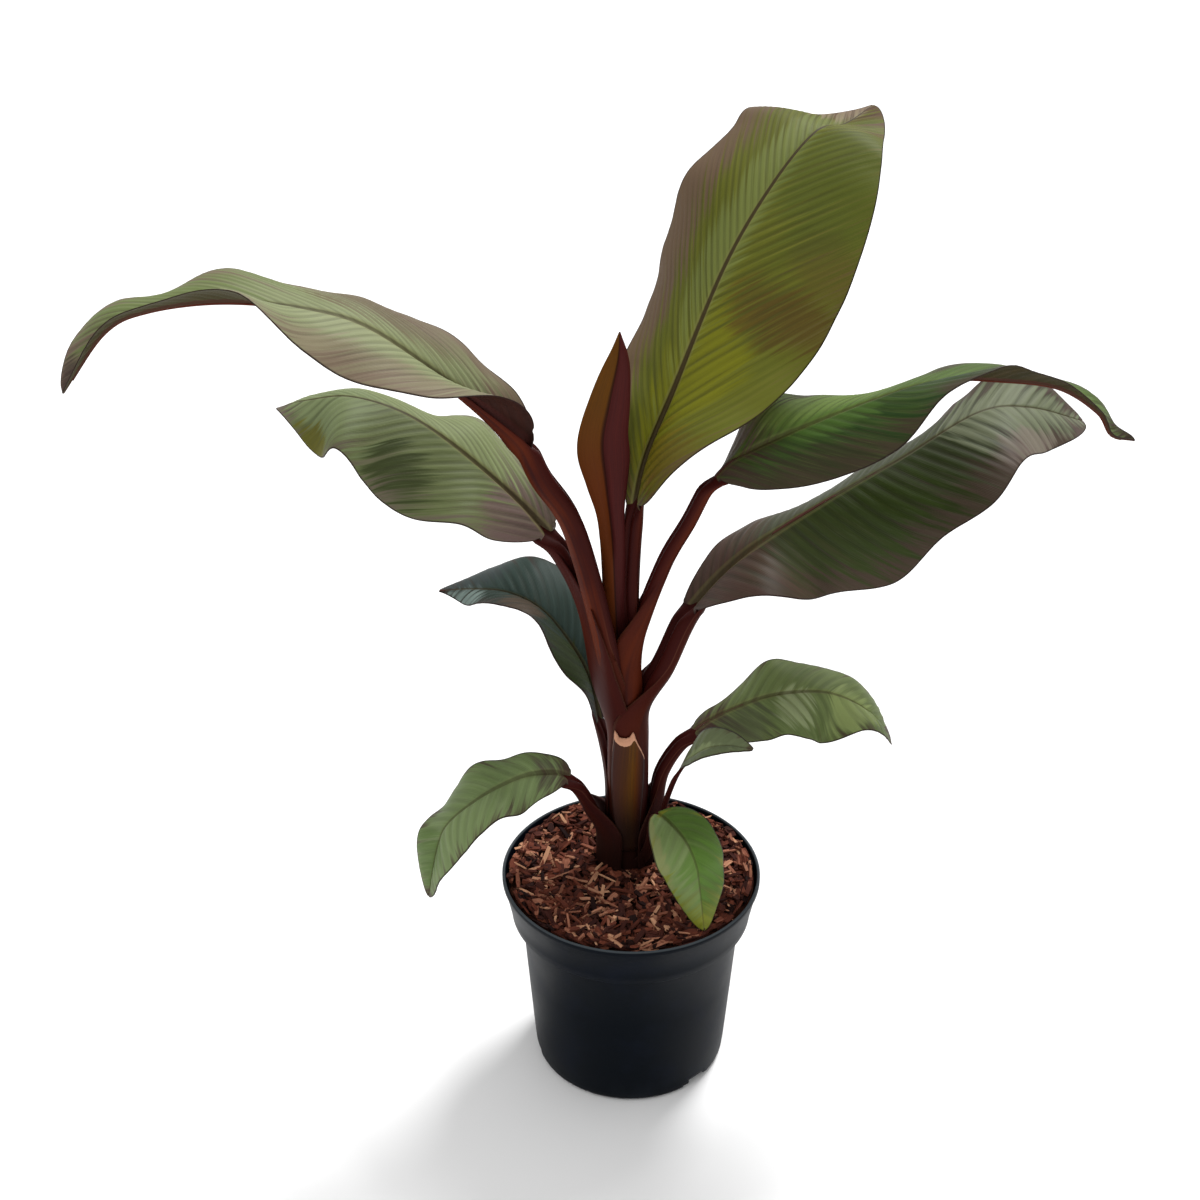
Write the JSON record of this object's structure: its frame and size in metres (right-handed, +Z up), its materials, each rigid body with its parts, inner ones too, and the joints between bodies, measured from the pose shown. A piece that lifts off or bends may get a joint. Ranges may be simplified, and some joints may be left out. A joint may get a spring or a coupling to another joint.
{
  "type": "potted red abyssinian banana plant",
  "caption": "Young red-leaved banana plant in a plain round nursery pot, with arching paddle leaves on channelled stalks, a furled centre leaf and bark mulch.",
  "frame": {"origin": "centre of the pot's flat underside", "axes": "+Z up; +X to the right and -Y towards the viewer in the front view"},
  "size_m": [0.7664, 0.3521, 0.7449],
  "materials": {
    "pot": "satin dark blue-grey moulded plastic",
    "mulch": "loose shredded bark over potting mix",
    "stem": "smooth dark red-brown leaf sheaths",
    "sheath": "dry-edged orange-brown leaf base",
    "stalk": "smooth red-brown leaf stalks",
    "spear": "rolled young leaf, red outside",
    "leaf": "soft leaf, green above, brown-red below and at the edges"
  },
  "bodies": {
    "root": {"pot": "pot", "root_ball": "mulch", "pseudostem": "stem", "cut_sheath": "sheath", "spear": "spear", "tall_leaf_stalk": "stalk", "tall_leaf_blade": "leaf", "left_upper_leaf_stalk": "stalk", "left_upper_leaf_inner_blade": "leaf", "left_upper_leaf_outer_blade": "leaf", "left_lower_leaf_stalk": "stalk", "left_lower_leaf_blade": "leaf", "back_leaf_stalk": "stalk", "back_leaf_blade": "leaf", "right_upper_leaf_stalk": "stalk", "right_upper_leaf_inner_blade": "leaf", "right_upper_leaf_outer_blade": "leaf", "right_lower_leaf_stalk": "stalk", "right_lower_leaf_blade": "leaf", "low_right_leaf_stalk": "stalk", "low_right_leaf_blade": "leaf", "small_leaf_stalk": "stalk", "small_leaf_blade": "leaf", "low_left_leaf_stalk": "stalk", "low_left_leaf_inner_blade": "leaf", "low_left_leaf_outer_blade": "leaf", "front_leaf_stalk": "stalk", "front_leaf_blade": "leaf"}
  },
  "joints": []
}
